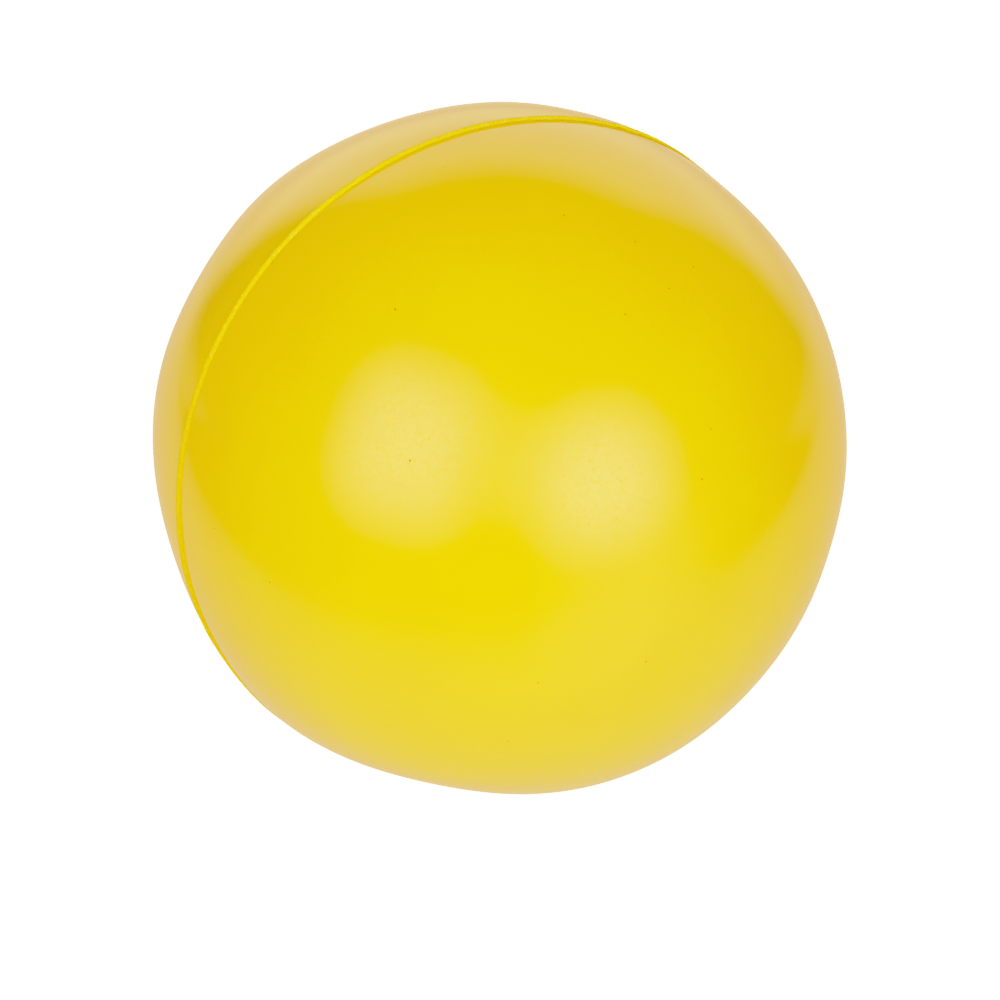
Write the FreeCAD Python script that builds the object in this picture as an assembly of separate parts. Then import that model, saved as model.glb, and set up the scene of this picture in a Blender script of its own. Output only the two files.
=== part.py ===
import FreeCAD, Part

import math
import os

# A 6 inch inflatable rubber playground ball, as the separate pieces it is built from.
#
# Frame: origin at the centre of the ball, +Z up. The two halves of the moulded cover meet in the XZ plane,
# and +Y runs along the mould's axis to the inflation valve, in the pole of the rear half.
# Every piece is turned about the Y axis, so each is drawn as an outline in one half-plane,
# by its distance from the axis and its height along the axis. Lengths are in millimetres.

# The ball
ball_radius = 152.4 / 2
cover_wall = 1.7
bladder_wall = 0.8

# The bead of rubber left along the parting line, where the mould's two halves closed
bead_width = 1.5
bead_height = 0.7
bead_root = 0.5

# The strip under the joint between the two cover halves
tape_width = 16.0
tape_thickness = 0.6

# The valve's place in the rear cover: a flat boss with a seat sunk into it
boss_radius = 9.0
boss_shoulder = 0.5
seat_radius = 5.0
seat_depth = 1.0
passage_radius = 3.2

# The fabric disc that strengthens the bladder round the valve
patch_radius = 16.0
patch_thickness = 0.5

# The valve housing, bonded inside the bladder
flange_radius = 11.0
flange_thickness = 1.4
flange_rim = 0.5
barrel_radius = 5.6
barrel_end = 57.0
neck_radius = 3.0
neck_end = 64.5
chamber_radius = 3.8
chamber_end = 58.6
vent_radius = 1.2

# The self-sealing plug, which an inflating needle goes through
plug_head_radius = 4.9
plug_head_recess = 0.15
plug_edge_round = 0.35
bulb_radius = 3.7
bulb_end = 59.2
bulb_nose = 1.4
needle_radius = 1.0
needle_depth = 7.0
funnel_radius = 1.9
funnel_depth = 0.7

# Values that follow from the ones above
full_turn = 360
cover_inside = ball_radius - cover_wall
bladder_inside = cover_inside - bladder_wall
patch_inside = bladder_inside - patch_thickness
tape_outside = cover_inside + tape_thickness
tape_edge = tape_width / 2
bead_edge = bead_width / 2
seat_floor = ball_radius - seat_depth
plug_top = ball_radius - plug_head_recess


def point(distance, height):
    """A point of an outline, by its distance from the Y axis and its height along it."""
    return FreeCAD.Vector(distance, height, 0)


def at_height(radius, height):
    """The point of the centred sphere of that radius at that height."""
    return point(math.sqrt(radius**2 - height**2), height)


def at_distance(radius, distance):
    """The point of the centred sphere of that radius, in the rear half, at that distance from the axis."""
    return point(distance, math.sqrt(radius**2 - distance**2))


def arc(start, end):
    """The stretch of a centred sphere's outline between two of its points, in either half of the ball."""
    middle = (start + end).normalize() * start.Length
    return Part.Arc(start, middle, end).toShape()


def bowed_arc(start, crest, end):
    """A curved stretch through three points."""
    return Part.Arc(start, crest, end).toShape()


def path(*points):
    """The straight edges that join points in turn."""
    return [Part.makeLine(a, b) for a, b in zip(points, points[1:])]


def rounded_corner(before, corner, after, radius):
    """The ends and the edge of a round that stands in for a square corner."""
    start = corner + (before - corner).normalize() * radius
    end = corner + (after - corner).normalize() * radius
    centre = start + end - corner
    crest = centre + (corner - centre).normalize() * radius
    return start, end, bowed_arc(start, crest, end)


def turned(edges):
    """The solid swept by a closed outline in one full turn about the Y axis."""
    outline = Part.Wire(Part.__sortEdges__(edges))
    return Part.Face(outline).revolve(FreeCAD.Vector(), FreeCAD.Vector(0, 1, 0), full_turn)


def cover_rim(side):
    """The edges of a cover half beside the joint, from the bead's edge to the end of the strip's rebate.

    side is -1 for the front half and 1 for the rear half.
    """
    skin_edge = at_height(ball_radius, side * bead_edge)
    groove = point(ball_radius - bead_root, 0)
    joint_inside = point(tape_outside, 0)
    rebate_corner = at_height(tape_outside, side * tape_edge)
    rebate_end = at_height(cover_inside, side * tape_edge)
    edges = path(skin_edge, groove, joint_inside)
    edges.append(arc(joint_inside, rebate_corner))
    edges += path(rebate_corner, rebate_end)
    return skin_edge, rebate_end, edges


def front_cover():
    """The front half of the moulded cover: a plain half shell."""
    skin_edge, rebate_end, edges = cover_rim(-1)
    outer_pole = point(0, -ball_radius)
    inner_pole = point(0, -cover_inside)
    edges.append(arc(outer_pole, skin_edge))
    edges.append(arc(rebate_end, inner_pole))
    edges += path(inner_pole, outer_pole)
    return turned(edges)


def rear_cover():
    """The rear half of the moulded cover, with the valve's boss, seat and passage in its pole."""
    skin_edge, rebate_end, edges = cover_rim(1)
    boss_foot = at_distance(ball_radius, boss_radius)
    boss_corner = point(boss_radius, ball_radius)
    seat_mouth = point(seat_radius, ball_radius)
    shoulder_start, shoulder_end, shoulder = rounded_corner(boss_foot, boss_corner, seat_mouth, boss_shoulder)
    passage_inside = at_distance(cover_inside, passage_radius)
    edges.append(arc(skin_edge, boss_foot))
    edges += path(boss_foot, shoulder_start)
    edges.append(shoulder)
    edges += path(
        shoulder_end,
        seat_mouth,
        point(seat_radius, seat_floor),
        point(passage_radius, seat_floor),
        passage_inside,
    )
    edges.append(arc(passage_inside, rebate_end))
    return turned(edges)


def seam_bead():
    """The bead along the parting line: a low round rib, rooted in the groove between the two halves."""
    front_edge = at_height(ball_radius, -bead_edge)
    rear_edge = at_height(ball_radius, bead_edge)
    crest = point(ball_radius + bead_height, 0)
    root = point(ball_radius - bead_root, 0)
    return turned([bowed_arc(front_edge, crest, rear_edge), *path(rear_edge, root, front_edge)])


def splice_tape():
    """The rubber strip that bridges the joint from inside, between the cover and the bladder."""
    outer = [at_height(tape_outside, side * tape_edge) for side in (-1, 1)]
    inner = [at_height(cover_inside, side * tape_edge) for side in (-1, 1)]
    faces = [arc(*outer), arc(*inner)]
    ends = path(outer[0], inner[0]) + path(outer[1], inner[1])
    return turned(faces + ends)


def bladder():
    """The butyl bladder that holds the air, open at the valve."""
    mouth_outside = at_distance(cover_inside, passage_radius)
    mouth_inside = at_distance(bladder_inside, passage_radius)
    outer_pole = point(0, -cover_inside)
    inner_pole = point(0, -bladder_inside)
    # Each half-circle is drawn in two stretches, so that every stretch is under half a turn
    outer_waist = point(cover_inside, 0)
    inner_waist = point(bladder_inside, 0)
    faces = [
        arc(outer_pole, outer_waist),
        arc(outer_waist, mouth_outside),
        arc(mouth_inside, inner_waist),
        arc(inner_waist, inner_pole),
    ]
    return turned(faces + path(mouth_outside, mouth_inside) + path(inner_pole, outer_pole))


def valve_patch():
    """The fabric disc bonded to the bladder's inside round the valve."""
    outer = [at_distance(bladder_inside, distance) for distance in (passage_radius, patch_radius)]
    inner = [at_distance(patch_inside, distance) for distance in (passage_radius, patch_radius)]
    faces = [arc(*outer), arc(*inner)]
    ends = path(outer[0], inner[0]) + path(outer[1], inner[1])
    return turned(faces + ends)


def valve_housing():
    """The moulded housing: a flange against the patch and a barrel with a neck, a chamber and a vent."""
    mouth = at_distance(patch_inside, neck_radius)
    rim_outside = at_distance(patch_inside, flange_radius)
    rim_inside = at_distance(patch_inside - flange_rim, flange_radius)
    flange_root = at_distance(patch_inside - flange_thickness, barrel_radius)
    edges = [arc(mouth, rim_outside)]
    edges += path(
        rim_outside,
        rim_inside,
        flange_root,
        point(barrel_radius, barrel_end),
        point(vent_radius, barrel_end),
        point(vent_radius, chamber_end),
        point(chamber_radius, chamber_end),
        point(chamber_radius, neck_end),
        point(neck_radius, neck_end),
        mouth,
    )
    return turned(edges)


def valve_plug():
    """The plug: a head in the cover's seat, a neck, a bulb that locks in the housing, and a needle hole."""
    head_foot = point(plug_head_radius, seat_floor)
    head_corner = point(plug_head_radius, plug_top)
    funnel_mouth = point(funnel_radius, plug_top)
    head_start, head_end, head_edge = rounded_corner(head_foot, head_corner, funnel_mouth, plug_edge_round)
    bulb_shoulder = point(bulb_radius, neck_end)
    bulb_corner = point(bulb_radius, bulb_end)
    bulb_centre = point(0, bulb_end)
    nose_start, nose_end, nose_edge = rounded_corner(bulb_shoulder, bulb_corner, bulb_centre, bulb_nose)
    hole_floor = plug_top - needle_depth
    edges = path(nose_start, bulb_shoulder, point(neck_radius, neck_end), point(neck_radius, seat_floor))
    edges += path(point(neck_radius, seat_floor), head_foot, head_start)
    edges.append(head_edge)
    edges += path(
        head_end,
        funnel_mouth,
        point(needle_radius, plug_top - funnel_depth),
        point(needle_radius, hole_floor),
        point(0, hole_floor),
        bulb_centre,
        nose_end,
    )
    edges.append(nose_edge)
    return turned(edges)


pieces = (front_cover, rear_cover, seam_bead, splice_tape, bladder, valve_patch, valve_housing, valve_plug)

os.makedirs("parts", exist_ok=True)
for piece in pieces:
    piece().exportStep(f"parts/{piece.__name__}.step")
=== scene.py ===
import math
import random

import bmesh
import bpy
import numpy as np
from mathutils import Matrix, Vector, noise


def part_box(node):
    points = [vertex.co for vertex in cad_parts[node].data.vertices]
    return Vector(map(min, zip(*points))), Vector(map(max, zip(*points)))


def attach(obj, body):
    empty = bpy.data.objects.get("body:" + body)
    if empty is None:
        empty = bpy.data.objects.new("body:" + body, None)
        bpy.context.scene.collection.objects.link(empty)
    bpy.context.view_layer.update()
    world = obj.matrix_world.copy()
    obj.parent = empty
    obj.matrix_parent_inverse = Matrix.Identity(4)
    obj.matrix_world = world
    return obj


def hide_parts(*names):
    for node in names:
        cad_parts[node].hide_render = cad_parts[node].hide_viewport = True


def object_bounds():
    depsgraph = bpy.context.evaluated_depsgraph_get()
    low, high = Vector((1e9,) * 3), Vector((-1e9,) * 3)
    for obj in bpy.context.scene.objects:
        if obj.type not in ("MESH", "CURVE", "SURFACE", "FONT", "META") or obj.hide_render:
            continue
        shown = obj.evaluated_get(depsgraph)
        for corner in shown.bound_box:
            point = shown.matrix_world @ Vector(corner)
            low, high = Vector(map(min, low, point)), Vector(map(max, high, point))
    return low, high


# A moulded rubber playground ball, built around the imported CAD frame.
#
# Lengths are in metres in the CAD's frame: origin at the ball's centre, +Z up, +Y out through the valve.
# The covers, the strip and the bladder are turned about the Y axis, each from an outline of
# (distance from the axis, height along it, segments). The bead is swept round the axis, section by section.
# The valve's three pieces keep the CAD's own shapes.

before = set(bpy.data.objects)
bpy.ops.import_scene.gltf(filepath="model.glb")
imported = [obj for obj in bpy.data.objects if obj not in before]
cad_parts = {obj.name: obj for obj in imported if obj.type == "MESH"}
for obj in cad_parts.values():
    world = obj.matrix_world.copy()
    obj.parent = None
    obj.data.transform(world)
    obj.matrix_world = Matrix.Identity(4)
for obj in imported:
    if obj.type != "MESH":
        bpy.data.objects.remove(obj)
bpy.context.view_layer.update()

mm = 0.001
degree = math.pi / 180

# Sizes read from the CAD frame
ball_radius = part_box("rear_cover")[1].y
bead_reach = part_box("seam_bead")[1].z
bead_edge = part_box("seam_bead")[1].y
cover_inside = -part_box("bladder")[0].y
tape_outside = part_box("splice_tape")[1].z
tape_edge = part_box("splice_tape")[1].y

# Sizes that the CAD's boxes don't give
bladder_wall = 0.8 * mm
bead_root = 0.5 * mm
boss_radius = 9.0 * mm
boss_round = 0.7 * mm
seat_radius = 5.0 * mm
seat_lip = 0.12 * mm
seat_depth = 1.0 * mm
passage_radius = 3.2 * mm
boss_face = (7.5 * mm, 6.0 * mm)

# The camera: its direction from the ball, its distance in ball radii, and where the ball sits in the frame
camera_azimuth = -26.5 * degree
camera_elevation = 25.1 * degree
camera_distance = 11 * ball_radius
camera_lens = 136.85
ball_above_middle = 0.78 * degree

to_camera = Vector((
    math.sin(camera_azimuth) * math.cos(camera_elevation),
    -math.cos(camera_azimuth) * math.cos(camera_elevation),
    math.sin(camera_elevation),
))
camera_right = Vector((math.cos(camera_azimuth), math.sin(camera_azimuth), 0))
camera_up = to_camera.cross(camera_right)
towards_camera_level = Vector((to_camera.x, to_camera.y, 0)).normalized()

# How far the ball is from round: (angle round the outline seen from the camera, anticlockwise from its right,
# spread, height of the swell or, below zero, depth of the flat)
unevenness = (
    (-17, 6.5, -0.60 * mm),
    (-40, 14, 0.12 * mm),
    (-64, 13, 0.95 * mm),
    (-78, 7, 0.18 * mm),
    (-102, 8.5, -1.30 * mm),
    (-129, 7.5, 0.62 * mm),
    (-162, 9, -0.90 * mm),
    (168, 9, 0.45 * mm),
    (149, 7, -0.25 * mm),
    (132, 8, 0.48 * mm),
    (107, 11, -0.55 * mm),
    (77, 6, -0.50 * mm),
    (53, 7.5, -1.05 * mm),
    (40, 7, -0.35 * mm),
)

# Where the bead has a lip in front of it, stands higher or lower, strays towards the valve (or, below zero,
# away from it) and has wide tabs of flash: turn from +X towards +Z, half-width in degrees, how much
bead_lips = ((92, 30, 1.20 * mm), (180, 14, 0.35 * mm), (262, 24, 0.9 * mm), (330, 18, 1.2 * mm))
bead_swells = (
    (92, 30, 0.08 * mm),
    (54, 7, -0.25 * mm),
    (202, 9, -0.08 * mm),
    (219, 12, -0.30 * mm),
    (300, 20, 0.15 * mm),
)
bead_strays = (
    (61, 8, -1.1 * mm),
    (66, 20, -1.2 * mm),
    (128, 10, 0.4 * mm),
    (182, 8, -0.2 * mm),
    (198, 9, 0.45 * mm),
    (250, 30, 0.3 * mm),
)
bead_tabs = ((62, 9, 0.8 * mm), (196.5, 8.5, 0.80 * mm), (292, 3, 0.5 * mm))

# The bead's section: its rear edge as a share of the CAD's, how much its edges and crest waver, how round the
# crest is, and how far its feet lie under the skin
rear_share = 1.08
bead_waver = 0.10
edge_waver_pitch = 5 * mm
crest_waver_pitch = 9 * mm
crest_power = 0.8
foot_depth = 0.03 * mm

# The lip in front of the rib: its width everywhere, what a swell in bead_lips adds to the rib's front and to
# the lip, how much it follows the tears, and its height as a share of its width
least_lip = 0.12 * mm
offset_front_share = 0.45
offset_lip_share = 0.60
lip_tear_share = 0.4
lip_rise_share = 0.45

# How ragged the bead's two edges are: the pitch of the tears, and their depth as a share of a tab's width
rear_tear_pitch = 1.5 * mm
rear_tear_least = 0.06 * mm
rear_tear_share = 0.7
front_tear_pitch = 1.8 * mm
front_tear_share = 1.3

# The bead's grain, and the streaks across it
bead_grain_pitch = 0.36 * mm
streak_pitch = 0.5 * mm
streak_length = 1.6 * mm
bead_grain_height = 0.06 * mm

# Pinholes. The ones in the photo are given by their turn from +Z towards +X and their angle from the half's
# pole, in degrees. Each half has a few more at random. Side -1 is the front half, and 1 is the rear half.
seen_pinholes = {
    -1: (
        (-2, 63),
        (9, 56),
        (-37, 63),
        (1, 44),
        (-58, 46),
        (24, 18),
        (71, 30),
        (-92, 65),
        (-87, 78),
        (-14, 82),
        (-142, 37),
        (-168, 13),
    ),
    1: ((13, 82),),
}
random_pinholes = 6
random_pinhole_angles = (20, 84)
pinhole_seeds = {-1: 7, 1: 11}
pinhole_width = 0.45 * mm
pinhole_depth = 0.35 * mm
pinhole_floor = 0.8

# The studio's softboxes: azimuth to the left of the camera, elevation, half-width, half-height, roll, all in
# degrees, then squareness (2 is an oval), how quickly they fade towards the edge, and strength
softboxes = (
    (32.5, 22, 32, 35.5, -5, 2.5, 2.0, 4.25),
    (-33, 11.5, 34, 33, 0, 2.1, 2.1, 4.8),
    (-1.5, 20, 14, 31, -12, 3.0, 4.0, 0.75),
    (-43, -20, 36, 54, -9, 1.6, 1.3, 0.57),
)
room_strength = 0.036

# The white sheet's soft edges, as slopes seen from the ball, each from where it is dark to where it is bright
sheet_strength = 1.26
sheet_left = (-0.89, -0.51)
sheet_right = (1.16, 0.68)
sheet_top = (1.67, 0.87)
sheet_bottom = (-0.33, 0.28)
sheet_side = (0.0, 0.8)

# The white table's soft edge on the camera's side, which is bowed, and its fading towards the horizon
table_strength = 0.52
table_front = (2.42, -0.08)
table_bow = (0.30, -0.125)
table_bow_end = 4.0
table_horizon = (0.0, -0.22)

# The fill light: azimuth to the left of the camera, elevation, width, strength
fill_azimuth = 110
fill_elevation = -50
fill_width = 120 * degree
fill_strength = 0.45

# The light that the film shows as white, the floor's own light, and how far the floor reaches
white_level = 2.6
floor_glow = 2.4
floor_reach = 4.0

# The film: what each channel makes of the light it gets
film_red = ((0.0, 0.0), (0.37, 0.60), (0.51, 0.752), (0.71, 0.823), (0.88, 0.869), (1.50, 0.97))
film_green = (
    (0.0, 0.0),
    (0.30, 0.42),
    (0.41, 0.533),
    (0.495, 0.572),
    (0.57, 0.637),
    (0.70, 0.696),
    (0.90, 0.768),
    (1.30, 0.87),
)
film_blue = ((0.0, 0.0), (0.0102, 0.0035), (0.0203, 0.0205), (0.13, 0.125), (0.25, 0.226), (1.30, 0.80))

# The moulded skin's slow waviness
peel_pitch = 4.5 * mm
peel_height = 0.007 * mm

# Mesh density
skin_step = 0.75 * mm
skin_segments = 640
inside_step = 3.0 * mm
inside_segments = 160
strip_step = 2 * mm
shoulder_steps = 8
face_rings = 4
seat_lip_steps = 4
passage_rings = 3
passage_step = 0.2 * mm
bead_segments = 2400
bead_points = 15
lip_points = 8

# A ring has half the segments when it is smaller than this share of the ball, half again at half the share,
# and so on down to the fewest
halving_share = 0.7
fewest_segments = 10

# Points this near the ball's radius are on the skin, and edges that turn by more than this shade as edges
skin_tolerance = 0.05 * mm
crease_limit = 40 * degree

# More vertices than any of the meshes has
vertex_limit = 100000

# The materials' colours, as linear light
skin_deep = (0.86, 0.672, 0.0, 1)
skin_pale = (0.885, 0.70, 0.0, 1)
# The pinholes' floors, painted darker as painted shade in the pits
painted_pit_shade = (0.58, 0.38, 0.0, 1)
# The bead's rib: its colours lower down, then towards the top, where it is painted lighter as painted light
# from above
lower_rib_deep = (0.72, 0.555, 0.0, 1)
lower_rib_pale = (0.80, 0.645, 0.0, 1)
painted_lit_rib_deep = (0.86, 0.71, 0.0, 1)
painted_lit_rib_pale = (0.97, 0.89, 0.006, 1)
# Painted glints: the pale colour given to the rib's glinting grains near the top, as painted highlights
painted_glint_colour = (0.95, 0.87, 0.11, 1)
# The lip in front of the rib: lower down, then towards the top, where it is painted darker as painted shade
lower_lip = (0.78, 0.62, 0.0, 1)
painted_top_lip = (0.70, 0.52, 0.0, 1)
butyl = (0.018, 0.018, 0.02, 1)
talc = (0.20, 0.20, 0.19, 1)
gum_deep = (0.36, 0.22, 0.09, 1)
gum_pale = (0.50, 0.33, 0.16, 1)
cotton_deep = (0.40, 0.35, 0.25, 1)
cotton_pale = (0.68, 0.63, 0.52, 1)
cotton_stain = (0.45, 0.36, 0.22, 1)
floor_paint = (0.8, 0.8, 0.8, 1)
valve_shade = (0.012, 0.014, 0.020)
plug_shade = (0.015, 0.018, 0.026)
bloom_gain = 1.9
bloom_roughness = 0.15


# ---------------------------------------------------------------------------------------------------------
# Meshes


def unevenness_at(directions):
    """How far out of round the ball is in each direction, as a share of its radius."""
    total = np.zeros(len(directions))
    for angle, spread, height in unevenness:
        place = camera_right * math.cos(angle * degree) + camera_up * math.sin(angle * degree)
        apart = np.arccos(np.clip(directions @ np.array(place), -1, 1))
        total += height / ball_radius * np.exp(-0.5 * (apart / (spread * degree)) ** 2)
    return total


def out_of_round(points):
    """The points of the round ball, moved to where they are on the uneven one."""
    lengths = np.linalg.norm(points, axis=1, keepdims=True)
    return points * (1 + unevenness_at(points / lengths))[:, None]


def ring_count(distance, most):
    """Segments in a ring at this distance from the axis: most at the widest, fewer in smaller rings."""
    halvings = 0
    while distance < ball_radius * halving_share / 2**halvings and most // 2**halvings > fewest_segments:
        halvings += 1
    return most // 2**halvings


def arc_rings(radius, start, end, step, most):
    """Rings of a centred sphere between two angles from the -Y axis, both ends included."""
    count = max(2, round(abs(end - start) * radius / step))
    rings = []
    for angle in np.linspace(start, end, count + 1):
        distance = radius * math.sin(angle)
        rings.append((distance, -radius * math.cos(angle), ring_count(distance, most)))
    return rings


def angle_at_height(radius, height):
    """The angle from the -Y axis at which a centred sphere reaches this height."""
    return math.acos(-height / radius)


def turned_mesh(name, outline, closed):
    """A mesh turned about the Y axis. An outline that isn't closed starts and ends on the axis."""
    points = []
    starts = []
    counts = []
    for distance, height, count in outline:
        starts.append(len(points))
        if distance < 1e-9:
            counts.append(1)
            points.append((0, height, 0))
            continue
        counts.append(count)
        turn = np.arange(count) * 2 * math.pi / count
        points.extend(zip(distance * np.cos(turn), [height] * count, distance * np.sin(turn)))
    faces = []
    rings = list(zip(starts, counts))
    followers = rings[1:] + rings[:1] if closed else rings[1:]
    for (a, a_count), (b, b_count) in zip(rings, followers):
        faces.extend(faces_between(a, a_count, b, b_count))
    mesh = bpy.data.meshes.new(name)
    mesh.from_pydata(points, [], faces)
    return mesh


def faces_between(a, a_count, b, b_count):
    """Faces that join two rings with the same number of segments, or one with twice the other's."""
    if a_count < b_count:
        return [face[::-1] for face in faces_between(b, b_count, a, a_count)]
    if b_count == 1:
        return [(a + i, a + (i + 1) % a_count, b) for i in range(a_count)]
    faces = []
    for i in range(b_count):
        j = (i + 1) % b_count
        if a_count == b_count:
            faces.append((a + i, a + j, b + j, b + i))
            continue
        first, middle, last = a + 2 * i, a + 2 * i + 1, a + (2 * i + 2) % a_count
        faces += [(first, middle, b + i), (middle, last, b + j), (middle, b + j, b + i)]
    return faces


def finish_piece(name, mesh, material, node):
    """The object for a mesh: smooth, facing outwards, riding on the ball and standing for a CAD node."""
    shell = bmesh.new()
    shell.from_mesh(mesh)
    bmesh.ops.recalc_face_normals(shell, faces=shell.faces)
    shell.to_mesh(mesh)
    shell.free()
    mesh.polygons.foreach_set("use_smooth", [True] * len(mesh.polygons))
    mesh.materials.append(material)
    piece = bpy.data.objects.new(name, mesh)
    bpy.context.scene.collection.objects.link(piece)
    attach(piece, "root")
    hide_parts(node)
    return piece


def mesh_points(mesh):
    """A mesh's vertices as an array."""
    points = np.empty(len(mesh.vertices) * 3)
    mesh.vertices.foreach_get("co", points)
    return points.reshape(-1, 3)


def place_points(mesh, points):
    """Puts a mesh's vertices back."""
    mesh.vertices.foreach_set("co", points.astype(np.float32).ravel())
    mesh.update()


def peel(points):
    """Gives the skin its slow moulded waviness, and leaves every point off the skin alone."""
    lengths = np.linalg.norm(points, axis=1)
    on_skin = np.abs(lengths - ball_radius) < skin_tolerance
    heights = np.zeros(len(points))
    for index in np.flatnonzero(on_skin):
        heights[index] = noise.noise(Vector(points[index]) / peel_pitch) * peel_height
    return points * (1 + heights / lengths)[:, None]


def mark_creases(mesh):
    """Marks the sharply turned edges, so that they shade as edges."""
    shell = bmesh.new()
    shell.from_mesh(mesh)
    for edge in shell.edges:
        if len(edge.link_faces) == 2 and edge.calc_face_angle(0) > crease_limit:
            edge.smooth = False
    shell.to_mesh(mesh)
    shell.free()


def pinhole_places(side):
    """Directions of the pinholes in one half of the cover: the ones in the photo, then a few at random."""
    chosen = random.Random(pinhole_seeds[side])
    places = [(turn * degree, tilt * degree) for turn, tilt in seen_pinholes[side]]
    for _ in range(random_pinholes):
        turn = chosen.uniform(0, 2 * math.pi)
        places.append((turn, chosen.uniform(*random_pinhole_angles) * degree))
    pole = Vector((0, side, 0))
    directions = []
    for turn, tilt in places:
        flat = Vector((math.sin(turn), 0, math.cos(turn)))
        directions.append((flat * math.sin(tilt) + pole * math.cos(tilt)).normalized())
    return directions


def face_rank(face):
    """A number that only this face has, made from its three lowest vertices."""
    first, second, third = sorted(vert.index for vert in face.verts)[:3]
    return (first * vertex_limit + second) * vertex_limit + third


def sink_pinholes(mesh, directions):
    """Opens a small round pit in the skin in each direction.

    The attribute "pit" is 1 on the floors of the pits and 0 everywhere else.
    """
    shell = bmesh.new()
    shell.from_mesh(mesh)
    pit = shell.verts.layers.float.new("pit")
    for direction in directions:
        shell.verts.ensure_lookup_table()
        nearest = min(shell.verts, key=lambda vert: (vert.co - direction * ball_radius).length_squared)
        cut = bmesh.ops.bevel(
            shell,
            geom=[nearest],
            offset=pinhole_width / 2,
            offset_type="OFFSET",
            segments=1,
            profile=0.5,
            affect="VERTICES",
            clamp_overlap=True,
        )
        mouth = cut["faces"][0]
        for edge in list(mouth.edges):
            bmesh.utils.edge_split(edge, edge.verts[0], 0.5)
        middle = mouth.calc_center_median()
        for vert in mouth.verts:
            vert.co = middle + (vert.co - middle).normalized() * pinhole_width / 2
        for edge in mouth.edges:
            edge.smooth = False
        floor = bmesh.ops.extrude_discrete_faces(shell, faces=[mouth])["faces"][0]
        centre = floor.calc_center_median()
        for vert in floor.verts:
            vert.co = centre + (vert.co - centre) * pinhole_floor - direction * pinhole_depth
            vert[pit] = 1.0

    # The bevels add their faces in an order that changes from run to run
    shell.verts.index_update()
    shell.faces.sort(key=face_rank)
    shell.to_mesh(mesh)
    shell.free()


# ---------------------------------------------------------------------------------------------------------
# Shader nodes


def set_inputs(tree, node, inputs):
    """Gives a node its inputs, each by name or number, as a value or as another node's output."""
    for key, value in inputs.items():
        if isinstance(value, bpy.types.NodeSocket):
            tree.links.new(value, node.inputs[key])
        else:
            node.inputs[key].default_value = value


def add_node(tree, kind, inputs, **settings):
    """Adds a node, with its settings and its inputs."""
    node = tree.nodes.new(kind)
    for name, value in settings.items():
        setattr(node, name, value)
    set_inputs(tree, node, inputs)
    return node


def attribute(tree, name):
    """The value of one of the mesh's point attributes."""
    return add_node(tree, "ShaderNodeAttribute", {}, attribute_name=name).outputs["Fac"]


def calculate(tree, operation, *values):
    """The result of one maths node."""
    return add_node(tree, "ShaderNodeMath", dict(enumerate(values)), operation=operation).outputs[0]


def ramp(tree, value, start, end, low=0.0, high=1.0):
    """A smooth step from low to high as the value goes from start to end."""
    inputs = {"Value": value, "From Min": start, "From Max": end, "To Min": low, "To Max": high}
    return add_node(tree, "ShaderNodeMapRange", inputs, interpolation_type="SMOOTHSTEP").outputs["Result"]


def mixed(tree, share, first, second):
    """A colour between two others."""
    inputs = {0: share, 6: first, 7: second}
    return add_node(tree, "ShaderNodeMix", inputs, data_type="RGBA").outputs[2]


def blend(tree, share, first, second):
    """A value between two others."""
    inputs = {0: share, 2: first, 3: second}
    return add_node(tree, "ShaderNodeMix", inputs, data_type="FLOAT").outputs[0]


def noise_value(tree, place, pitch, detail=2.0, roughness=0.5):
    """Soft noise between 0 and 1, with features about one pitch apart."""
    inputs = {"Vector": place, "Scale": 1 / pitch, "Detail": detail, "Roughness": roughness}
    return add_node(tree, "ShaderNodeTexNoise", inputs).outputs["Fac"]


def bump(tree, height, relief):
    """A normal bent by a height in the range 0 to 1 that stands for this much relief."""
    inputs = {"Height": height, "Distance": relief, "Strength": 1.0}
    return add_node(tree, "ShaderNodeBump", inputs).outputs["Normal"]


def new_material(name):
    """An empty node material, with its tree, its surface node and the place on the object."""
    material = bpy.data.materials.new(name)
    material.use_nodes = True
    tree = material.node_tree
    tree.nodes.clear()
    output = tree.nodes.new("ShaderNodeOutputMaterial")
    surface = tree.nodes.new("ShaderNodeBsdfPrincipled")
    tree.links.new(surface.outputs[0], output.inputs[0])
    place = tree.nodes.new("ShaderNodeTexCoord").outputs["Object"]
    return material, tree, surface, place


# ---------------------------------------------------------------------------------------------------------
# Materials


def cover_rubber():
    """The yellow moulded skin: satin, with a fine grain that shows where it catches the light."""
    material, tree, surface, place = new_material("cover_rubber")
    cloud = noise_value(tree, place, 22 * mm, detail=3.0, roughness=0.55)
    colour = mixed(tree, ramp(tree, cloud, 0.3, 0.7), skin_deep, skin_pale)
    grain = noise_value(tree, place, 0.62 * mm, roughness=0.6)
    patchy = noise_value(tree, place, 9 * mm, detail=3.0)
    speckled = {"Vector": place, "Scale": 1 / (1.7 * mm)}
    speckle = add_node(tree, "ShaderNodeTexVoronoi", speckled).outputs["Distance"]
    clear = ramp(tree, speckle, 0.08, 0.22, low=0.4)
    shine = calculate(tree, "MULTIPLY", ramp(tree, grain, 0.36, 0.60, low=0.38, high=0.59), clear)
    pit = attribute(tree, "pit")
    pit_shine = ramp(tree, pit, 0.0, 1.0, low=1.0, high=0.0)
    set_inputs(tree, surface, {
        # The pits' floors are painted darker, as painted shade in the recesses
        "Base Color": mixed(tree, pit, colour, painted_pit_shade),
        "Roughness": ramp(tree, patchy, 0.3, 0.7, low=0.08, high=0.12),
        "Specular IOR Level": calculate(tree, "MULTIPLY", shine, pit_shine),
        "IOR": 1.5,
        "Normal": bump(tree, grain, 0.008 * mm),
    })
    return material


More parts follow.
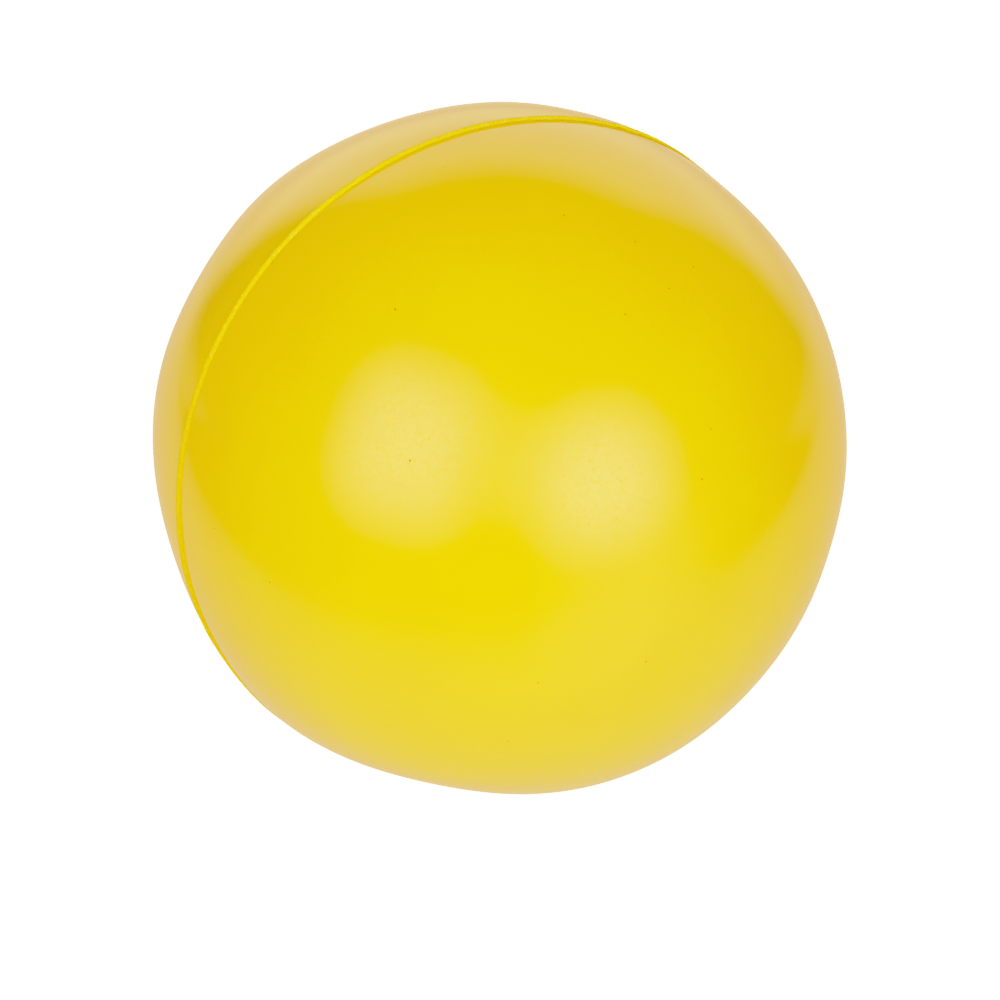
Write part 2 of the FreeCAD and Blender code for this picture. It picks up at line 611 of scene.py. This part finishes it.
def bead_rubber():
    """The torn flash: the same rubber, but matt and granular. Its upper part is painted lighter, as painted
    light from above, and its grains there carry painted glints.

    The attribute "torn" is 1 on the rib and 0 on the smoother lip in front of it, which is painted darker
    towards the top, as painted shade.
    """
    material, tree, surface, place = new_material("bead_rubber")
    torn = attribute(tree, "torn")
    # The share towards the top of the ball, where the rib is painted lighter as painted light and the lip
    # darker as painted shade
    painted_top = ramp(tree, add_node(tree, "ShaderNodeSeparateXYZ", {0: place}).outputs["Z"], 18 * mm, 72 * mm)
    grain = noise_value(tree, place, 0.45 * mm, roughness=0.6)
    light = ramp(tree, grain, 0.35, 0.65)
    lower_rib = mixed(tree, light, lower_rib_deep, lower_rib_pale)
    # Towards the top the rib is painted lighter, as painted light from above
    painted_lit_rib = mixed(tree, light, painted_lit_rib_deep, painted_lit_rib_pale)
    # Glints: real extra shine, and near the top also a painted pale colour as painted highlights
    glint = ramp(tree, noise_value(tree, place, 0.5 * mm, detail=0.0), 0.66, 0.76)
    painted_top_glint = calculate(tree, "MULTIPLY", glint, painted_top)
    rib = mixed(tree, painted_top_glint, mixed(tree, painted_top, lower_rib, painted_lit_rib), painted_glint_colour)
    # The lip is painted darker towards the top, as painted shade
    lip = mixed(tree, painted_top, lower_lip, painted_top_lip)
    torn_shine = ramp(tree, glint, 0.0, 1.0, low=0.08, high=0.45)
    set_inputs(tree, surface, {
        "Base Color": mixed(tree, torn, lip, rib),
        "Roughness": ramp(tree, glint, 0.0, 1.0, low=0.85, high=0.35),
        "Specular IOR Level": blend(tree, torn, 0.04, torn_shine),
        "Normal": bump(tree, grain, 0.03 * mm),
    })
    return material


def bladder_rubber():
    """Dull black butyl, dusted with talc."""
    material, tree, surface, place = new_material("bladder_rubber")
    dust = noise_value(tree, place, 14 * mm, detail=6.0, roughness=0.65)
    skin = noise_value(tree, place, 0.9 * mm, detail=3.0)
    set_inputs(tree, surface, {
        "Base Color": mixed(tree, ramp(tree, dust, 0.42, 0.75), butyl, talc),
        "Roughness": ramp(tree, dust, 0.4, 0.7, low=0.5, high=0.85),
        "Normal": bump(tree, skin, 0.04 * mm),
    })
    return material


def tape_rubber():
    """Tan gum rubber with the marks of the cloth it was rolled up in."""
    material, tree, surface, place = new_material("tape_rubber")
    tone = noise_value(tree, place, 8 * mm, detail=4.0)
    set_inputs(tree, surface, {
        "Base Color": mixed(tree, tone, gum_deep, gum_pale),
        "Roughness": 0.7,
        "Normal": bump(tree, weave(tree, place, 0.7 * mm), 0.05 * mm),
    })
    return material


def weave(tree, place, pitch):
    """The height of a plain weave seen along Y: threads across X and threads across Z."""
    # The wave node itself multiplies the place by 20 before it takes the sine
    node_factor = 20
    waves = []
    for direction in ("X", "Z"):
        inputs = {"Vector": place, "Scale": 2 * math.pi / (pitch * node_factor), "Distortion": 0.4}
        wave = add_node(tree, "ShaderNodeTexWave", inputs, wave_type="BANDS", bands_direction=direction)
        waves.append(wave.outputs["Fac"])
    return calculate(tree, "MAXIMUM", *waves)


def patch_fabric():
    """Off-white cotton, rubber coated."""
    material, tree, surface, place = new_material("patch_fabric")
    height = weave(tree, place, 0.6 * mm)
    stain = noise_value(tree, place, 5 * mm, detail=4.0)
    threads = mixed(tree, height, cotton_deep, cotton_pale)
    set_inputs(tree, surface, {
        "Base Color": mixed(tree, ramp(tree, stain, 0.45, 0.8, high=0.5), threads, cotton_stain),
        "Roughness": 0.9,
        "Sheen Weight": 0.2,
        "Normal": bump(tree, height, 0.15 * mm),
    })
    return material


def dark_rubber(name, shade, roughness):
    """Moulded dark rubber with a faint bloom, for the valve."""
    material, tree, surface, place = new_material(name)
    bloom = noise_value(tree, place, 3 * mm, detail=4.0, roughness=0.6)
    light = tuple(value * bloom_gain for value in shade)
    grain = noise_value(tree, place, 0.35 * mm)
    set_inputs(tree, surface, {
        "Base Color": mixed(tree, ramp(tree, bloom, 0.4, 0.75), (*shade, 1), (*light, 1)),
        "Roughness": ramp(tree, bloom, 0.3, 0.7, low=roughness, high=roughness + bloom_roughness),
        "Normal": bump(tree, grain, 0.02 * mm),
    })
    return material


# ---------------------------------------------------------------------------------------------------------
# Pieces


def rim_rings(side):
    """The hidden rim of a cover half, from the bead's groove down the joint and along the strip's rebate."""
    groove = ball_radius - bead_root
    # The ring halfway down the joint leads from the skin's segments to the fewer ones inside
    joint = [(groove, 0, skin_segments), ((groove + tape_outside) / 2, 0, skin_segments // 2)]
    rebate_start = angle_at_height(tape_outside, 0)
    rebate_end = angle_at_height(tape_outside, side * tape_edge)
    return joint + arc_rings(tape_outside, rebate_start, rebate_end, strip_step, inside_segments)


def front_cover(material):
    """The plain front half of the cover."""
    skin_end = angle_at_height(ball_radius, -bead_edge)
    inner_start = angle_at_height(cover_inside, -tape_edge)
    outline = arc_rings(ball_radius, 0, skin_end, skin_step, skin_segments)
    outline += rim_rings(-1)
    outline += arc_rings(cover_inside, inner_start, 0, inside_step, inside_segments)
    return cover_piece("front_cover", outline, False, -1, material)


def rear_cover(material):
    """The rear half of the cover, with the valve's boss, seat and passage."""
    inner_start = angle_at_height(cover_inside, math.sqrt(cover_inside**2 - passage_radius**2))
    inner_end = angle_at_height(cover_inside, tape_edge)
    skin_start = angle_at_height(ball_radius, bead_edge)
    skin_end = math.pi - math.asin(boss_radius / ball_radius)
    outline = arc_rings(cover_inside, inner_start, inner_end, inside_step, inside_segments)
    outline += rim_rings(1)[::-1]
    outline += arc_rings(ball_radius, skin_start, skin_end, skin_step, skin_segments)
    outline += boss_rings(outline[-1][2])
    return cover_piece("rear_cover", outline, True, 1, material)


def boss_rings(count):
    """From the foot of the boss over its shoulder and its face, down into the seat and the passage.

    The foot itself is the skin's last ring, so it is left out.
    """
    foot_height = math.sqrt(ball_radius**2 - boss_radius**2)
    rings = []
    for step in range(1, shoulder_steps + 1):
        turn = step / shoulder_steps * math.pi / 2
        distance = boss_radius - boss_round * (1 - math.cos(turn))
        height = foot_height + (ball_radius - foot_height) * math.sin(turn)
        rings.append((distance, height, count))
    rings += [(distance, ball_radius, count) for distance in np.linspace(*boss_face, face_rings)]
    for step in range(seat_lip_steps + 1):
        turn = step / seat_lip_steps * math.pi / 2
        distance = seat_radius + seat_lip * (1 - math.sin(turn))
        rings.append((distance, ball_radius - seat_lip * (1 - math.cos(turn)), count))
    seat_floor = ball_radius - seat_depth
    rings.append((seat_radius, seat_floor, count))
    # Down the passage, each ring has half as many segments as the one before, to meet the coarse inner face
    for step in range(passage_rings):
        rings.append((passage_radius, seat_floor - step * passage_step, count // 2**step))
    return rings


def cover_piece(name, outline, closed, side, material):
    """A half of the cover: its outline turned, made uneven, and pricked with pinholes."""
    mesh = turned_mesh(name, outline, closed)
    place_points(mesh, peel(mesh_points(mesh)))
    mark_creases(mesh)
    sink_pinholes(mesh, pinhole_places(side))
    place_points(mesh, out_of_round(mesh_points(mesh)))
    return finish_piece(name + "_skin", mesh, material, name)


def seam_bead(material):
    """The bead of flash: a ragged, granular rib, rooted in the joint's groove except where it strays."""
    sections = [bead_section(index * 2 * math.pi / bead_segments) for index in range(bead_segments)]
    points = [point for section in sections for point in section]
    per_ring = len(sections[0])
    faces = []
    for i in range(bead_segments):
        j = (i + 1) % bead_segments
        for k in range(per_ring):
            after = (k + 1) % per_ring
            faces.append((i * per_ring + k, i * per_ring + after, j * per_ring + after, j * per_ring + k))
    mesh = bpy.data.meshes.new("seam_bead")
    mesh.from_pydata(points, [], faces)
    torn = mesh.attributes.new("torn", "FLOAT", "POINT")
    torn.data.foreach_set("value", ([0.0] * lip_points + [1.0] * (bead_points + 1)) * bead_segments)
    place_points(mesh, out_of_round(mesh_points(mesh)))
    return finish_piece("seam_bead_flash", mesh, material, "seam_bead")


def swell(turn, swells, sharpness):
    """How much several swells add at one place round the ball. Each is half its size a half-width away."""
    to_half = 0.7
    total = 0.0
    for middle, half_width, size in swells:
        apart = math.remainder(turn / degree - middle, 360) / half_width
        total += size * math.exp(-to_half * abs(apart) ** sharpness)
    return total


def noise_at(place, pitch, layer=0):
    """Noise between -1 and 1. Each layer has a pattern of its own."""
    return noise.noise(place / pitch + Vector((0, layer, 0)))


def bead_section(turn):
    """The bead's section at one place round the ball: front foot, crest, rear foot, and last its root.

    In front of the rib there can be a rounded lip, where the mould's two halves didn't quite meet.
    """
    outward = Vector((math.cos(turn), 0, math.sin(turn)))
    around = outward * ball_radius
    tab = swell(turn, bead_tabs, sharpness=10)
    tear = noise_at(around, rear_tear_pitch, layer=30) * (rear_tear_least + rear_tear_share * tab)
    stray = swell(turn, bead_strays, sharpness=2)
    offset = swell(turn, bead_lips, sharpness=4)
    front = bead_edge * (1 + bead_waver * noise_at(around, edge_waver_pitch))
    front += offset_front_share * offset
    front += noise_at(around, front_tear_pitch, layer=50) * front_tear_share * tab
    rear = bead_edge * (rear_share + bead_waver * noise_at(around, edge_waver_pitch, layer=9))
    rear += tab + tear
    lip = least_lip + offset_lip_share * offset + lip_tear_share * tear
    lip_rise = lip_rise_share * lip
    tall = (bead_reach - ball_radius) * (1 + bead_waver * noise_at(around, crest_waver_pitch))
    tall += swell(turn, bead_swells, sharpness=4)
    section = []
    for k in range(lip_points):
        share = k / lip_points
        section.append((-front - (1 - share) * lip, lip_rise * math.sin(share * math.pi / 2) - foot_depth))
    for k in range(bead_points):
        share = 2 * k / (bead_points - 1) - 1
        across = share * (rear if share > 0 else front)
        rise = max(tall * (1 - share**2) ** crest_power, lip_rise * (1 - share) / 2) - foot_depth
        streaked = Vector((around.x / streak_pitch, across / streak_length, around.z / streak_pitch))
        rough = noise.noise(streaked) + noise_at(Vector((around.x, across, around.z)), bead_grain_pitch)
        section.append((across, rise + bead_grain_height * rough * (1 - share**4)))
    section = [(across + stray, rise) for across, rise in section] + [(stray, -bead_root)]
    return [
        outward * math.sqrt((ball_radius + rise) ** 2 - across**2) + Vector((0, across, 0))
        for across, rise in section
    ]


def splice_tape(material):
    """The strip under the joint."""
    outline = []
    for radius, side in ((tape_outside, -1), (cover_inside, 1)):
        start = angle_at_height(radius, side * tape_edge)
        end = angle_at_height(radius, -side * tape_edge)
        outline += arc_rings(radius, start, end, strip_step, inside_segments)
    mesh = turned_mesh("splice_tape", outline, True)
    mark_creases(mesh)
    place_points(mesh, out_of_round(mesh_points(mesh)))
    return finish_piece("splice_strip", mesh, material, "splice_tape")


def bladder(material):
    """The bladder, open at the valve."""
    inside = cover_inside - bladder_wall
    outer_end = math.pi - math.asin(passage_radius / cover_inside)
    inner_end = math.pi - math.asin(passage_radius / inside)
    outline = arc_rings(cover_inside, 0, outer_end, inside_step, inside_segments)
    outline += arc_rings(inside, inner_end, 0, inside_step, inside_segments)
    mesh = turned_mesh("bladder", outline, False)
    mark_creases(mesh)
    place_points(mesh, out_of_round(mesh_points(mesh)))
    return finish_piece("bladder_shell", mesh, material, "bladder")


yellow = cover_rubber()
front_cover(yellow)
rear_cover(yellow)
seam_bead(bead_rubber())
splice_tape(tape_rubber())
bladder(bladder_rubber())

for node_name, node_material in (
    ("valve_patch", patch_fabric()),
    ("valve_housing", dark_rubber("valve_rubber", valve_shade, 0.45)),
    ("valve_plug", dark_rubber("plug_rubber", plug_shade, 0.38)),
):
    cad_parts[node_name].data.materials.clear()
    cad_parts[node_name].data.materials.append(node_material)


# ---------------------------------------------------------------------------------------------------------
# Studio


def level_direction(azimuth, elevation):
    """A direction given by its azimuth to the left of the camera and its elevation, in degrees."""
    left = -camera_right
    level = towards_camera_level * math.cos(azimuth * degree) + left * math.sin(azimuth * degree)
    return level * math.cos(elevation * degree) + Vector((0, 0, math.sin(elevation * degree)))


def aligned(tree, look, axis):
    """How far the direction looked in lies along an axis."""
    inputs = {0: look, 1: axis}
    return add_node(tree, "ShaderNodeVectorMath", inputs, operation="DOT_PRODUCT").outputs["Value"]


def softbox(tree, look, azimuth, elevation, half_width, half_height, roll, squareness, falloff, strength):
    """A rounded light in the surroundings, brightest in its middle. Its angles are in degrees."""
    centre = level_direction(azimuth, elevation)
    level_side = Vector((0, 0, 1)).cross(centre).normalized()
    side = Matrix.Rotation(roll * degree, 3, centre) @ level_side
    above = centre.cross(side)
    inside = 1.0
    for axis, half_size in ((side, half_width), (above, half_height)):
        offset = calculate(tree, "DIVIDE", aligned(tree, look, axis), math.sin(half_size * degree))
        shaded = calculate(tree, "POWER", calculate(tree, "ABSOLUTE", offset), squareness)
        inside = calculate(tree, "SUBTRACT", inside, shaded)
    facing = calculate(tree, "GREATER_THAN", aligned(tree, look, centre), 0.0)
    glow = calculate(tree, "POWER", calculate(tree, "MAXIMUM", inside, 0.0), falloff)
    return calculate(tree, "MULTIPLY", calculate(tree, "MULTIPLY", glow, facing), strength)


def white_sheet(tree, look):
    """An upright white sheet behind the ball, as seen from the ball."""
    back = aligned(tree, look, -towards_camera_level)
    behind = calculate(tree, "MAXIMUM", back, 0.001)
    across = calculate(tree, "DIVIDE", aligned(tree, look, camera_right), behind)
    height = calculate(tree, "DIVIDE", aligned(tree, look, Vector((0, 0, 1))), behind)
    sheet = ramp(tree, across, *sheet_left)
    for edge in (
        ramp(tree, across, *sheet_right),
        ramp(tree, height, *sheet_top),
        ramp(tree, height, *sheet_bottom),
        ramp(tree, back, *sheet_side),
    ):
        sheet = calculate(tree, "MULTIPLY", sheet, edge)
    return calculate(tree, "MULTIPLY", sheet, sheet_strength)


def white_table(tree, look):
    """A white table under the ball, which ends in a soft curve on the camera's side."""
    up = aligned(tree, look, Vector((0, 0, 1)))
    below = calculate(tree, "MAXIMUM", calculate(tree, "MULTIPLY", up, -1.0), 0.001)
    front = calculate(tree, "DIVIDE", aligned(tree, look, towards_camera_level), below)
    across = calculate(tree, "DIVIDE", aligned(tree, look, camera_right), below)
    across = calculate(tree, "MINIMUM", calculate(tree, "MAXIMUM", across, -table_bow_end), table_bow_end)
    bowed = calculate(tree, "MULTIPLY", across, calculate(tree, "MULTIPLY_ADD", across, *table_bow))
    table = ramp(tree, calculate(tree, "ADD", front, bowed), *table_front)
    table = calculate(tree, "MULTIPLY", table, ramp(tree, up, *table_horizon))
    return calculate(tree, "MULTIPLY", table, table_strength)


def make_surroundings():
    """A dim room with softboxes by the camera, a white sheet behind the ball and a white table under it."""
    world = bpy.data.worlds.new("studio")
    bpy.context.scene.world = world
    world.use_nodes = True
    tree = world.node_tree
    tree.nodes.clear()
    look = tree.nodes.new("ShaderNodeTexCoord").outputs["Generated"]
    total = room_strength
    for light in softboxes:
        total = calculate(tree, "ADD", total, softbox(tree, look, *light))
    total = calculate(tree, "ADD", total, white_sheet(tree, look))
    total = calculate(tree, "ADD", total, white_table(tree, look))

    # The camera itself sees plain white
    seen = tree.nodes.new("ShaderNodeLightPath").outputs["Is Camera Ray"]
    background = add_node(tree, "ShaderNodeBackground", {"Color": blend(tree, seen, total, white_level)})
    output = tree.nodes.new("ShaderNodeOutputWorld")
    tree.links.new(background.outputs[0], output.inputs[0])


def make_fill_light():
    """A very wide light that shades the ball but leaves no reflection on it."""
    light = bpy.data.lights.new("fill_below_left", "SUN")
    light.energy = fill_strength
    light.angle = fill_width
    lamp = bpy.data.objects.new("fill_below_left", light)
    lamp.rotation_mode = "QUATERNION"
    lamp.rotation_quaternion = level_direction(fill_azimuth, fill_elevation).to_track_quat("Z", "Y")
    lamp.visible_glossy = False
    bpy.context.scene.collection.objects.link(lamp)


def make_floor(height):
    """A plain pale floor, which only the camera sees: the surroundings stand for it in the ball's skin."""
    corners = [(x * floor_reach, y * floor_reach, height) for x, y in ((-1, -1), (1, -1), (1, 1), (-1, 1))]
    mesh = bpy.data.meshes.new("floor")
    mesh.from_pydata(corners, [], [(0, 1, 2, 3)])
    material = bpy.data.materials.new("floor")
    material.use_nodes = True
    tree = material.node_tree
    tree.nodes.clear()
    paint = add_node(tree, "ShaderNodeBsdfDiffuse", {"Color": floor_paint})
    glow = add_node(tree, "ShaderNodeEmission", {"Strength": floor_glow})
    lit = add_node(tree, "ShaderNodeAddShader", {0: paint.outputs[0], 1: glow.outputs[0]})
    clear = tree.nodes.new("ShaderNodeBsdfTransparent")
    seen = tree.nodes.new("ShaderNodeLightPath").outputs["Is Camera Ray"]
    either = add_node(tree, "ShaderNodeMixShader", {0: seen, 1: clear.outputs[0], 2: lit.outputs[0]})
    output = tree.nodes.new("ShaderNodeOutputMaterial")
    tree.links.new(either.outputs[0], output.inputs[0])
    mesh.materials.append(material)
    floor = bpy.data.objects.new("floor", mesh)
    bpy.context.scene.collection.objects.link(floor)


def make_camera():
    """The camera, aimed a little below the ball's centre."""
    camera = bpy.data.cameras.new("camera")
    camera.lens = camera_lens
    camera.clip_start = 0.05
    camera.clip_end = 50
    rig = bpy.data.objects.new("camera", camera)
    aim = -camera_up * camera_distance * math.tan(ball_above_middle)
    rig.location = to_camera * camera_distance
    rig.rotation_mode = "QUATERNION"
    rig.rotation_quaternion = (aim - rig.location).to_track_quat("-Z", "Y")
    bpy.context.scene.collection.objects.link(rig)
    bpy.context.scene.camera = rig


def set_film():
    """Soft highlights and a firm yellow: how the camera turns light into colour, channel by channel."""
    view = bpy.context.scene.view_settings
    view.view_transform = "Standard"
    view.use_curve_mapping = True
    film = view.curve_mapping
    film.white_level = (white_level, white_level, white_level)
    for channel, knots in enumerate((film_red, film_green, film_blue)):
        curve = film.curves[channel]
        curve.points[0].location = knots[0][0] / white_level, knots[0][1]
        curve.points[1].location = 1.0, 1.0
        for light, shade in knots[1:]:
            curve.points.new(light / white_level, shade).handle_type = "VECTOR"
    film.update()


make_surroundings()
make_fill_light()
visual_low, visual_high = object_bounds()
make_floor(visual_low.z)
make_camera()
set_film()
